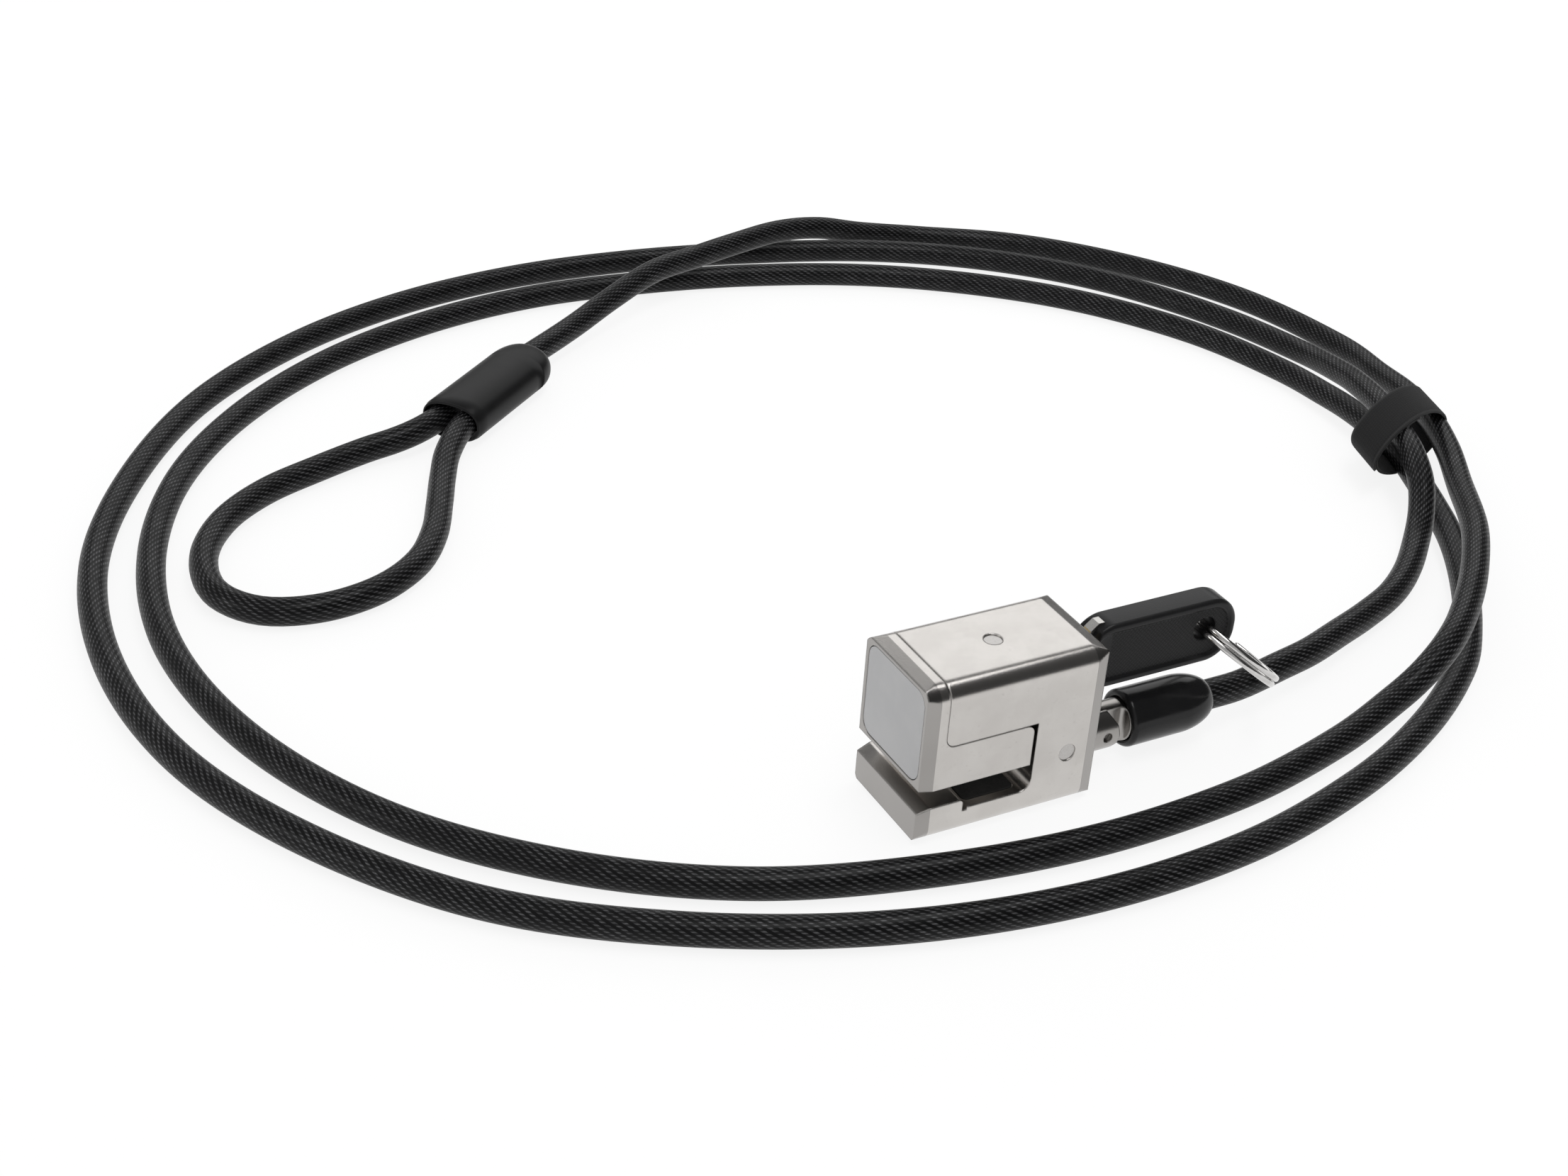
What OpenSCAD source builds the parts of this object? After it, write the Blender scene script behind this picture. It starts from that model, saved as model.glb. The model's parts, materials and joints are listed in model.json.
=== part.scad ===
// Cable lock for a laptop: a clamping lock head with its key, a swivel, and a
// coiled steel cable that ends in an eye. The origin is the centre of the
// head's flat base. X runs along the head to the swivel, Z is up.

/* [Lock head] */
// Length of the closed head, nose to rear face
head_l = 28; // [27:0.2:31]
// Width of the head
head_w = 16.4; // [15.8:0.1:19]
// Height of the head
head_h = 24.2; // [23.6:0.1:27]
// Radius of the head's four long edges
edge_r = 2.4; // [1.2:0.1:3]
// Length of the bevel at the nose
nose_bevel_l = 2; // [1:0.1:2.6]
// Depth of the bevel at the nose
nose_bevel = 0.3; // [0.1:0.05:0.5]
// Length of the bevel at the rear
rear_bevel_l = 1.9; // [1:0.1:2.4]
// Depth of the bevel at the rear
rear_bevel = 0.6; // [0.2:0.05:0.8]

/* [Jaw] */
// Height of the jaw's lip at the nose
lip_h = 5.7; // [5.3:0.1:6.2]
// Length of the lip, nose to clamp recess
lip_l = 7; // [5.5:0.1:8]
// Floor of the clamp recess above the base
recess_floor = 4.3; // [3.8:0.1:4.6]
// Radius at the back of the clamp recess
recess_r = 1.8; // [0.6:0.1:2.2]
// Width of the relief groove behind the lip
relief_w = 0.8; // [0.4:0.1:1.2]
// Depth of the relief groove behind the lip
relief_d = 0.4; // [0.2:0.1:0.8]
// Length of the rubber jaw pad
pad_l = 7.9; // [6:0.1:8.4]
// Width of the rubber jaw pad
pad_w = 13.4; // [10:0.1:14]
// Thickness of the rubber jaw pad
pad_t = 1; // [0.7:0.05:1.3]
// How far the pad stands above the recess floor
pad_proud = 0.1; // [0:0.05:0.15]

/* [Slider] */
// Thickness of the slider's front cap
cap_t = 3.3; // [2.6:0.1:3.8]
// Underside of the slider above the base
slider_z = 8.5; // [8.1:0.1:8.8]
// Parting line between slider block and body above the base
parting_z = 15; // [14.6:0.1:15.4]
// Length of the slider, nose to the block's rear face
slider_l = 17.1; // [16.5:0.1:17.4]
// Radius of the parting line's two corners
parting_r = 1.3; // [0.6:0.1:1.6]
// Gap between slider and body along the parting line
parting_gap = 0.1; // [0.08:0.01:0.2]
// Gap behind the slider block when the slider is shut
rear_gap = 0.6; // [0.4:0.05:0.9]
// How far the slider opens
slider_travel = 7; // [5:0.1:7.2]
// Width of the slider's guide tongue
guide_w = 7; // [6.4:0.1:8]
// Height of the slider's guide tongue
guide_h = 2.3; // [2.2:0.05:2.4]
// Underside of the guide tongue above the base
guide_z = 10.6; // [10.5:0.05:10.65]
// Length of the guide tongue behind the slider block
guide_l = 7.2; // [7:0.1:7.8]
// Running clearance of the guide tongue
guide_gap = 0.06; // [0.04:0.01:0.1]
// Width of the badge plate in the nose
badge_w = 14.3; // [12:0.1:14.6]
// Height of the badge plate
badge_h = 13.8; // [11:0.1:14]
// Corner radius of the badge plate
badge_r = 2; // [1:0.1:3]
// Thickness of the badge plate
badge_t = 0.6; // [0.4:0.05:0.8]
// Gap round the badge plate
badge_gap = 0.12; // [0.05:0.01:0.2]

/* [Pins] */
// Diameter of the two dowel pins in the head
dowel_d = 2.6; // [2.2:0.1:2.7]
// Slide pin behind the nose
slide_pin_x = 14.5; // [14:0.1:15]
// Reach of the slide pin below the top face
slide_pin_l = 13.1; // [12.6:0.1:13.2]
// Slot floor below the end of the slide pin
slot_gap = 0.15; // [0.1:0.05:0.2]
// Depth of the dowels' ends below the faces that they are driven into
dowel_sink = 0.15; // [0.05:0.05:0.3]
// Length of the swivel pin from the near face
swivel_pin_l = 11.2; // [10.6:0.1:11.6]
// Running clearance between a dowel and what moves on it
dowel_gap = 0.05; // [0.03:0.01:0.1]

/* [Lock cylinder] */
// Height of the cylinder's axis above the base
cyl_z = 18.2; // [18.1:0.05:18.6]
// Diameter of the cylinder housing
housing_d = 9.5; // [8.8:0.1:9.6]
// Length of the cylinder housing
housing_l = 6.85; // [6.6:0.05:6.9]
// Diameter of the plug
plug_d = 6; // [5.6:0.1:6.6]
// Diameter of the plug's flange at the key's end
plug_flange_d = 7; // [6.8:0.1:7.8]
// Thickness of the plug's flange
plug_flange_t = 0.8; // [0.5:0.05:1]
// Radial clearance of the plug
plug_gap = 0.05; // [0.03:0.01:0.1]
// Thickness of the retaining clip
clip_t = 0.5; // [0.4:0.05:0.55]
// Outer diameter of the retaining clip
clip_d = 8.4; // [7:0.1:8.8]
// Radius on which the plug's drive pin turns
drive_r = 1.3; // [1.1:0.05:1.35]
// Diameter of the drive pin
drive_d = 1.2; // [1:0.05:1.2]
// Thickness of the locking bolt
bolt_t = 1.5; // [1.2:0.05:1.55]
// Width of the locking bolt
bolt_w = 5.2; // [4.8:0.1:5.6]
// Height of the locking bolt
bolt_h = 7.4; // [7:0.1:7.6]
// Lift of the open bolt over the guide tongue
bolt_lift = 0.3; // [0.15:0.05:0.4]
// Thickness of one wafer
wafer_t = 0.5; // [0.4:0.05:0.6]
// Distance between wafers
wafer_pitch = 1.2; // [1:0.05:1.25]
// Number of wafers
wafer_count = 4; // [3:1:4]

/* [Swivel] */
// Height of the swivel's axis above the base
swivel_z = 5.2; // [5.15:0.05:5.3]
// Diameter of the swivel stud
stud_d = 7; // [6.6:0.1:7.2]
// Depth of the stud in the head
stud_depth = 8.05; // [7.6:0.05:8.2]
// Clevis pivot behind the head's rear face
pivot_l = 5.5; // [5.3:0.1:6.5]
// Thickness of the cable tongue
tongue_t = 2.4; // [2:0.1:2.6]
// Height of the cable tongue
tongue_h = 6.5; // [6:0.1:6.6]
// Clearance on each side of the tongue
tongue_gap = 0.1; // [0.05:0.01:0.2]
// Diameter of the clevis pin
clevis_pin_d = 1.5; // [1.2:0.1:2]
// Length of the clevis pin
clevis_pin_l = 5.4; // [5:0.1:6]
// Outer diameter of the boot
boot_d = 8.4; // [7.6:0.1:8.4]
// Boot's front face behind the pivot
boot_x = 4; // [4:0.1:4.6]
// Length of the boot
boot_l = 14.6; // [14.2:0.1:16.2]
// Diameter of the tongue's barrel inside the boot
barrel_d = 6.2; // [5.8:0.1:6.6]

/* [Key] */
// Length of the key's moulded bow
bow_l = 25.4; // [23:0.1:27]
// Height of the bow
bow_h = 10.1; // [9.4:0.1:10.6]
// Thickness of the bow
bow_t = 4.4; // [3.8:0.1:4.8]
// Corner radius of the bow
bow_r = 4.6; // [3:0.1:4.6]
// Gap between the bow and the head's rear face
bow_gap = 0.6; // [0.3:0.05:0.8]
// Width of the raised rim round the bow's side panel
bow_rim = 0.9; // [0.6:0.05:1.4]
// Depth of the bow's side panel
bow_recess = 0.4; // [0.15:0.05:0.5]
// Diameter of the hole for the ring
ring_hole_d = 3.6; // [3.5:0.1:4]
// Ring hole behind the head's rear face
ring_hole_x = 20.8; // [19.6:0.1:21]
// Thickness of the blade
blade_t = 1.6; // [1.3:0.05:1.7]
// Height of the blade
blade_h = 4.2; // [3.8:0.05:4.4]
// Clearance round the blade in the plug
blade_gap = 0.1; // [0.06:0.01:0.15]
// Mean diameter of the split ring
ring_d = 16; // [14:0.5:18]
// Diameter of the ring's wire
ring_wire_d = 0.9; // [0.7:0.05:0.95]
// Lean of the hanging ring from straight down, in degrees
ring_lean = 50; // [48:1:60]

/* [Cable and eye] */
// Diameter of the cable over its jacket
cable_d = 4.4; // [4:0.1:4.5]
// Width of the moulded sleeve at the eye
sleeve_w = 11.4; // [11:0.1:12.2]
// Height of the sleeve
sleeve_h = 7.2; // [6.6:0.1:7.2]
// Length of the sleeve
sleeve_l = 28.4; // [27:0.1:31]
// Length of the ferrule inside the sleeve
ferrule_l = 14; // [12:0.5:15]
// Wall of the ferrule
ferrule_wall = 0.3; // [0.25:0.05:0.4]
// Distance between the two strands inside the ferrule
strand_pitch = 4.9; // [4.8:0.05:5]
// Thickness of the hook-and-loop strap
strap_t = 1.05; // [0.6:0.05:1.05]
// Width of the strap along the cable
strap_w = 10; // [8:0.2:10.6]
// Width of the strap's loop across the strands
strap_loop_w = 23.2; // [22.8:0.2:26]
// Clearance between strap and cable
strap_gap = 0.1; // [0.05:0.05:0.2]

/* [Hidden] */

big = 60;                                  // longer than any cut needs
skin = 0.02;                               // by which a cut passes the face it opens
steel = [0.77, 0.74, 0.70];
dark_steel = [0.45, 0.44, 0.43];
black_rubber = [0.07, 0.07, 0.07];
black_gloss = [0.04, 0.04, 0.04];
brass = [0.76, 0.62, 0.33];

nose_x = -head_l / 2;
rear_x = head_l / 2;
cap_x = nose_x + cap_t;                    // rear face of the slider's cap
block_x = nose_x + slider_l;               // rear face of the slider's block
wall_x = block_x + rear_gap;               // front face of the body's rear wall
pin_x = nose_x + slide_pin_x;
dowel_r = dowel_d / 2;

// guide tongue, its slot for the slide pin and its notch for the bolt
guide_top = guide_z + guide_h;
slot_rear = pin_x + dowel_r + dowel_gap + slider_travel;
slot_z = head_h - slide_pin_l - slot_gap;

// lock cylinder, counted forward from the rear face
housing_x = rear_x - housing_l;
clip_x = housing_x - 0.1 - clip_t;
plug_x = clip_x - 0.45;                    // front end of the plug
plug_rear = rear_x + 0.15;
bolt_x1 = plug_x - 0.1;
bolt_x0 = bolt_x1 - bolt_t;
bolt_z = guide_top + bolt_lift;
drive_y = drive_r * sin(45);
drive_drop = 2 * drive_y;                  // how far a quarter turn moves the bolt
keyway_x = plug_x + 1.6;
blade_x = keyway_x + 0.1;
first_wafer_x = keyway_x + 0.9;
wafer_r = plug_d / 2 - 0.1;
wafer_half = 1.85;                         // half the width of a wafer

// swivel and clevis
stud_r = stud_d / 2;
stud_x0 = rear_x - stud_depth;
groove_r = 2.3;
swivel_pin_z = swivel_z + groove_r + dowel_gap + dowel_r;
swivel_pin_x = rear_x - 4.95;
pivot_x = rear_x + pivot_l;
barrel_r = barrel_d / 2;
shoulder_r = boot_x - 3.15;                // hollow between tongue and shoulder
socket_x = boot_x + 4;
barrel_end = boot_x + 8.4;

// key
bow_z = cyl_z - 0.2;
bow_x0 = rear_x + bow_gap;
bow_x1 = bow_x0 + bow_l;
hole_x = rear_x + ring_hole_x;
hole_z = cyl_z + 0.3;
shoulder_x = bow_x0 + 1.2;
ring_seat = 0.6;                           // wire's middle below the hole's middle
ring_pitch = ring_wire_d + 0.1;

// eye: frame of the sleeve, mouth to rear
sleeve_mouth = [-30.41, 120.36, 3.65];
sleeve_turn = 38.7;
sleeve_exit = 1.2;                         // strand's offset where it enters the sleeve
ferrule_x = 4;
cable_r = cable_d / 2;

// Route of the cable's middle line: swivel, inner run, outer turn, inner turn,
// last run over the other two, sleeve, eye, and back into the sleeve.
ROUTE = [
    [27.5, 0, 5.2], [34, 0, 5.2], [40, 0.1, 5.2], [46, 0.9, 4.9], [54.7, 2.9, 4.5],
    [62, 4.8, 4], [70.1, 7.9, 3.3], [78, 11, 2.7], [86.6, 14.8, 2.4], [94.3, 19.8, 2.3],
    [101.5, 26, 2.7], [106.5, 31, 4.6], [110.5, 36.5, 7], [114, 43.5, 8.4],
    [117.3, 51, 8.5], [121.6, 58.5, 8.4], [126.1, 66, 6.4], [128.8, 75, 3.6],
    [130.2, 91, 2.2], [125, 111, 2.2], [113, 133.5, 2.2], [96.5, 150.5, 2.2],
    [76, 162.8, 2.2], [52, 170.5, 2.2], [27.5, 175, 2.2], [3, 175.8, 2.2],
    [-21.5, 171.5, 2.2], [-45, 161.5, 2.2], [-67, 145, 2.2], [-84, 122.8, 2.2],
    [-95.5, 98.5, 2.2], [-99.8, 72, 2.2], [-97, 46, 2.2], [-87, 22.5, 2.2],
    [-71, 1.5, 2.2], [-50.5, -13, 2.2], [-26.5, -23.3, 2.2], [-1, -28.4, 2.2],
    [25, -28.2, 2.2], [48.5, -23, 2.2], [67, -15.5, 2.2], [82.5, -6, 2.2],
    [92, 3, 2.2], [101, 14, 2.2], [108, 24.5, 2.2], [112.8, 34, 2.2],
    [116, 42, 2.6], [118.7, 50.5, 3.4], [120.5, 58.5, 3.5], [121.7, 66.5, 3.3],
    [122.3, 75, 2.7], [121.5, 88, 2.2], [115.5, 107, 2.2], [103.5, 126, 2.2],
    [88, 140.7, 2.2], [69, 152.5, 2.2], [47.5, 160.3, 2.2], [25, 164.6, 2.2],
    [2.5, 165.8, 2.2], [-20, 161.8, 2.2], [-42, 152.5, 2.2], [-62, 137.8, 2.2],
    [-77.5, 119, 2.2], [-87.5, 96, 2.2], [-91, 71.5, 2.2], [-87, 46, 2.2],
    [-76, 22.6, 2.2], [-59.5, 4.6, 2.2], [-39, -8.5, 2.2], [-16, -15.7, 2.2],
    [8, -19, 2.2], [32, -18.1, 2.2], [52, -14, 2.3], [65.5, -10, 3.4],
    [72.5, -8.2, 5.4], [79.5, -5.2, 7.2], [87.5, 0.4, 7.4], [97.5, 9.2, 7.4],
    [108, 20.6, 6.9], [118.3, 35, 5.2], [125.5, 46, 5], [131, 57, 5],
    [134.5, 67, 4.4], [137, 77, 3.2], [139.3, 92, 2.3], [135, 115.5, 2.2],
    [123.5, 137, 2.2], [107, 155, 2.2], [88.5, 166.5, 2.2], [76, 171.6, 2.9],
    [66.5, 172.4, 5.4], [57, 169.8, 7.3], [46, 166.2, 7.4],
    [35.5, 162.3, 7.4], [25, 158.4, 7.2], [14.5, 153.5, 5.6], [3.5, 147.5, 3.8],
    [-8.53, 139.43, 3.65], [-17.5, 133.84, 3.65], [-24.92, 127.9, 3.65],
    [-31.78, 122.4, 3.65], [-36.6, 119.8, 3.4], [-41, 119, 2.8], [-46.5, 118.2, 2.4], [-55.5, 115.3, 2.2],
    [-65.5, 111, 2.2], [-74, 104.3, 2.2], [-79.7, 95, 2.2], [-81, 84.5, 2.2],
    [-76.5, 77, 2.2], [-68, 74.2, 2.2], [-58.5, 75.8, 2.2], [-50.5, 81, 2.2],
    [-45, 88.5, 2.2], [-41, 97, 2.2], [-37.5, 105, 2.3], [-34, 111.8, 3],
    [-28.57, 118.7, 3.65], [-21.86, 124.08, 3.65], [-14.83, 129.7, 3.65]];

// loop of the strap: its middle, its axis from X, how far its mouth leans, and its roll
strap_middle = [121, 53.7, 5.85];
strap_turn = 82;
strap_skew = 28;
strap_roll = 5;
strand_rise = 4.8;                         // between the lowest strand and the highest

// ---------- shapes that repeat ----------

// A cylinder along X from x0 to x1.
module rod_x(x0, x1, r, y = 0, z = 0) {
    translate([x0, y, z]) rotate([0, 90, 0]) cylinder(h = x1 - x0, r = r, $fn = 48);
}

// A cylinder along Y from y0 to y1.
module rod_y(y0, y1, r, x = 0, z = 0) {
    translate([x, y1, z]) rotate([90, 0, 0]) cylinder(h = y1 - y0, r = r, $fn = 48);
}

// A cylinder along Z from z0 to z1.
module rod_z(z0, z1, r, x = 0, y = 0) {
    translate([x, y, z0]) cylinder(h = z1 - z0, r = r, $fn = 48);
}

// A box between two corners.
module block(low, high) {
    translate(low) cube(high - low);
}

// Extrusions of an outline: drawn in Y and Z along X, and in X and Z along Y.
module along_x(x0, x1) {
    translate([x0, 0, 0]) rotate([90, 0, 90]) linear_extrude(x1 - x0) children();
}
module along_y(y0, y1) {
    translate([0, y1, 0]) rotate([90, 0, 0]) linear_extrude(y1 - y0) children();
}

// A rectangle with round corners, drawn about the middle of its lower side.
module rounded_rect(w, h, r) {
    translate([-w / 2 + r, 0]) square([w - 2 * r, h]);
    translate([-w / 2, r]) square([w, h - 2 * r]);
    for (side = [-1, 1], z = [r, h - r]) translate([side * (w / 2 - r), z]) circle(r, $fn = 48);
}

// Points of an arc round c from angle a0 to a1.
function arc(c, r, a0, a1, n = 8) =
    [for (i = [0:n]) c + r * [cos(a0 + (a1 - a0) * i / n), sin(a0 + (a1 - a0) * i / n)]];

// A closed skin over rings of equally many points, with flat ends.
module skin_over(rings) {
    n = len(rings[0]);
    m = len(rings);
    sides = [for (i = [0:m - 2], j = [0:n - 1], half = [0, 1])
        let (a = i * n + j, b = i * n + (j + 1) % n)
        half == 0 ? [a, b + n, b] : [a, a + n, b + n]];
    start = [for (j = [1:n - 2]) [0, j, j + 1]];
    last = (m - 1) * n;
    end = [for (j = [1:n - 2]) [last, last + j + 1, last + j]];
    polyhedron([for (ring = rings) each ring], concat(sides, start, end));
}

// ---------- swept tubes ----------

function unit(v) = v / norm(v);

// Direction of a line of points at point i.
function heading(p, i) = unit(p[min(i + 1, len(p) - 1)] - p[max(i - 1, 0)]);

// Rings of n points and radius r square to a line of points that is never upright.
function tube_rings(p, r, n) = [for (i = [0:len(p) - 1])
    let (t = heading(p, i), side = unit(cross([0, 0, 1], t)), up = cross(t, side))
    [for (k = [0:n - 1]) p[i] + r * (cos(360 * (k + 0.5) / n) * side
                                     + sin(360 * (k + 0.5) / n) * up)]];

// Point on the smooth curve through p, between point i and the next.
function on_curve(p, i, t) =
    let (b = p[i], c = p[min(i + 1, len(p) - 1)],
         a = i > 0 ? p[i - 1] : 2 * b - c,
         d = i + 2 < len(p) ? p[i + 2] : 2 * c - b)
    0.5 * (2 * b + (c - a) * t + (2 * a - 5 * b + 4 * c - d) * t * t
           + (3 * b - a - 3 * c + d) * t * t * t);

function curve(p, n) = concat([for (i = [0:len(p) - 2], k = [0:n - 1]) on_curve(p, i, k / n)],
                              [p[len(p) - 1]]);
function length_of(p, i = 0, sum = 0) =
    i >= len(p) - 1 ? sum : length_of(p, i + 1, sum + norm(p[i + 1] - p[i]));

// Least distance between points of a curve that are more than skip apart in count.
function least_gap(p, skip) = min([for (i = [0:len(p) - skip - 2])
    min([for (j = [i + skip:len(p) - 1]) norm(p[i] - p[j])])]);

// ---------- frames that lie askew ----------

// The tongue and boot, drawn level from the pivot along X.
module at_pivot() {
    translate([pivot_x, 0, swivel_z]) children();
}

// The sleeve and ferrule, drawn along X from the middle of the sleeve's mouth.
module at_sleeve() {
    translate(sleeve_mouth) rotate([0, 0, sleeve_turn]) children();
}

// ---------- lock head ----------

// Everything inside the closed head's outer faces, up to extra length at each end.
module head_envelope() {
    side = [[nose_x, nose_bevel], [nose_x + nose_bevel_l, 0], [rear_x - rear_bevel_l, 0],
            [rear_x, rear_bevel], [rear_x, head_h - rear_bevel],
            [rear_x - rear_bevel_l, head_h], [nose_x + nose_bevel_l, head_h],
            [nose_x, head_h - nose_bevel]];
    w = head_w / 2;
    plan = [[nose_x, nose_bevel - w], [nose_x + nose_bevel_l, -w], [rear_x - rear_bevel_l, -w],
            [rear_x, rear_bevel - w], [rear_x, w - rear_bevel], [rear_x - rear_bevel_l, w],
            [nose_x + nose_bevel_l, w], [nose_x, w - nose_bevel]];
    intersection() {
        along_x(nose_x, rear_x) rounded_rect(head_w, head_h, edge_r);
        along_y(-w, w) polygon(side);
        linear_extrude(head_h) polygon(plan);
    }
}

module lock_body() {
    r = parting_r;
    front = cap_x + parting_gap;
    under = parting_z + parting_gap;
    relief_x = nose_x + lip_l;
    outline = concat(
        [[nose_x, 0.65], [nose_x + nose_bevel_l, 0], [rear_x, 0], [rear_x, head_h],
         [front, head_h]],
        arc([front + r, under + r], r, 180, 270),
        [[wall_x, under], [wall_x, recess_floor + recess_r]],
        arc([wall_x - recess_r, recess_floor + recess_r], recess_r, 0, -90),
        [[relief_x + relief_w, recess_floor], [relief_x + relief_w, recess_floor - relief_d],
         [relief_x, recess_floor - relief_d], [relief_x, lip_h - 0.4], [relief_x - 0.4, lip_h],
         [nose_x + nose_bevel_l, lip_h], [nose_x, lip_h - 0.6]]);
    color(steel) difference() {
        intersection() {
            head_envelope();
            along_y(-head_w, head_w) polygon(outline);
        }
        // guide channel for the slider
        block([wall_x - 1, -guide_w / 2 - guide_gap, guide_z - guide_gap],
              [block_x + guide_l + 0.3, guide_w / 2 + guide_gap, guide_top + guide_gap]);
        // shaft of the locking bolt
        block([bolt_x0 - 0.05, -bolt_w / 2 - 0.08, guide_top],
              [plug_x, bolt_w / 2 + 0.08, bolt_z + bolt_h + 0.3]);
        // seat of the lock cylinder
        rod_x(plug_x - 0.05, rear_x + skin, housing_d / 2, 0, cyl_z);
        // bore of the swivel
        rod_x(stud_x0 - 0.05, rear_x + skin, stud_r + dowel_gap, 0, swivel_z);
        rod_z(head_h - slide_pin_l, head_h + skin, dowel_r, pin_x);
        rod_y(-head_w / 2 - skin, swivel_pin_l - head_w / 2, dowel_r,
              swivel_pin_x, swivel_pin_z);
        jaw_pad_shape();
    }
}

module jaw_pad_shape() {
    x0 = nose_x + lip_l + relief_w + 0.3;
    translate([x0 + pad_l / 2, -pad_w / 2, recess_floor + pad_proud - pad_t])
        linear_extrude(pad_t) rounded_rect(pad_l, pad_w, 0.8);
}

module jaw_pad() {
    color(black_rubber) jaw_pad_shape();
}

module slider() {
    r = parting_r;
    outline = concat(
        [[nose_x, slider_z + nose_bevel], [nose_x + nose_bevel_l, slider_z],
         [block_x, slider_z]],
        arc([block_x - r, parting_z - r], r, 0, 90),
        arc([cap_x + parting_gap + r, parting_z + parting_gap + r], r + parting_gap, 270, 180),
        [[cap_x, head_h], [nose_x, head_h]]);
    color(steel) difference() {
        union() {
            intersection() {
                head_envelope();
                along_y(-head_w, head_w) polygon(outline);
            }
            block([block_x - 1, -guide_w / 2, guide_z],
                  [block_x + guide_l, guide_w / 2, guide_top]);
        }
        // slot that the slide pin stops
        block([pin_x - dowel_r - dowel_gap, -dowel_r - dowel_gap, slot_z],
              [slot_rear, dowel_r + dowel_gap, parting_z + 1]);
        // notch that the bolt drops into
        block([bolt_x0 - 0.12, -bolt_w / 2 - 0.12, bolt_z - drive_drop - 0.2],
              [bolt_x1 + 0.12, bolt_w / 2 + 0.12, guide_top + 1]);
        badge_seat(badge_gap, badge_t + 0.05);
    }
}

// The badge plate's outline in the nose, larger all round by gap.
module badge_seat(gap, depth) {
    z0 = slider_z + nose_bevel + (head_h - slider_z - 2 * nose_bevel - badge_h) / 2;
    translate([0, 0, z0 - gap]) along_x(nose_x - (gap > 0 ? skin : 0), nose_x + depth)
        rounded_rect(badge_w + 2 * gap, badge_h + 2 * gap, badge_r + gap);
}

module badge_plate() {
    color([0.56, 0.56, 0.57]) translate([0.05, 0, 0]) badge_seat(0, badge_t);
}

module slide_pin() {
    color(dark_steel) rod_z(head_h - slide_pin_l, head_h - dowel_sink, dowel_r, pin_x);
}

module swivel_pin() {
    color(dark_steel) rod_y(dowel_sink - head_w / 2, swivel_pin_l - head_w / 2, dowel_r,
                            swivel_pin_x, swivel_pin_z);
}

// ---------- lock cylinder ----------

module cylinder_housing() {
    color(brass) difference() {
        rod_x(housing_x, rear_x, housing_d / 2, 0, cyl_z);
        rod_x(housing_x - 1, rear_x + 1, plug_d / 2 + plug_gap, 0, cyl_z);
        rod_x(plug_rear - plug_flange_t - 0.06, rear_x + 1, plug_flange_d / 2 + plug_gap,
              0, cyl_z);
    }
}

module cylinder_plug() {
    keyway_h = blade_h / 2 + blade_gap;
    color(brass) difference() {
        union() {
            rod_x(plug_x, plug_rear, plug_d / 2, 0, cyl_z);
            rod_x(plug_rear - plug_flange_t, plug_rear, plug_flange_d / 2, 0, cyl_z);
            rod_x(bolt_x0 + 0.1, plug_x + 0.2, drive_d / 2, drive_y, cyl_z + drive_y);
        }
        // groove for the clip
        difference() {
            rod_x(clip_x - 0.05, clip_x + clip_t + 0.05, plug_d, 0, cyl_z);
            rod_x(clip_x - 1, clip_x + clip_t + 1, groove_r, 0, cyl_z);
        }
        // keyway
        block([keyway_x, -blade_t / 2 - blade_gap, cyl_z - keyway_h],
              [plug_rear + 1, blade_t / 2 + blade_gap, cyl_z + keyway_h]);
        for (i = [0:wafer_count - 1]) translate([first_wafer_x + i * wafer_pitch, 0, cyl_z]) {
            block([-wafer_t / 2 - 0.05, -wafer_half - 0.05, -plug_d],
                  [wafer_t / 2 + 0.05, wafer_half + 0.05, plug_d]);
            rod_z(-0.9, 0.9, 0.36, 0, wafer_half + 0.35);
        }
    }
}

module plug_clip() {
    color(dark_steel) difference() {
        rod_x(clip_x, clip_x + clip_t, clip_d / 2, 0, cyl_z);
        rod_x(clip_x - 1, clip_x + 1, groove_r + 0.05, 0, cyl_z);
        block([clip_x - 1, -groove_r + 0.5, cyl_z],
              [clip_x + 1, groove_r - 0.5, cyl_z + clip_d]);
    }
}

module wafer_tumblers() {
    color(dark_steel)
        for (i = [0:wafer_count - 1]) translate([first_wafer_x + i * wafer_pitch, 0, cyl_z])
            difference() {
                intersection() {
                    block([-wafer_t / 2, -wafer_half, -plug_d], [wafer_t / 2, wafer_half, plug_d]);
                    rod_x(-1, 1, wafer_r);
                }
                block([-1, -blade_t / 2 - blade_gap, -blade_h / 2 - blade_gap],
                      [1, blade_t / 2 + blade_gap, blade_h / 2 + blade_gap]);
            }
}

module tumbler_springs() {
    color(steel)
        for (i = [0:wafer_count - 1]) translate([first_wafer_x + i * wafer_pitch, 0, cyl_z])
            rod_z(-0.85, 0.85, 0.3, 0, wafer_half + 0.35);
}

module lock_bolt() {
    color(dark_steel) difference() {
        block([bolt_x0, -bolt_w / 2, bolt_z], [bolt_x1, bolt_w / 2, bolt_z + bolt_h]);
        // level slot for the drive pin
        block([bolt_x0 - 1, drive_y - drive_d / 2 - 0.1, cyl_z + drive_y - drive_d / 2 - 0.05],
              [bolt_x1 + 1, drive_r + drive_d / 2 + 0.1, cyl_z + drive_y + drive_d / 2 + 0.05]);
    }
}

// ---------- swivel ----------

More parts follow.
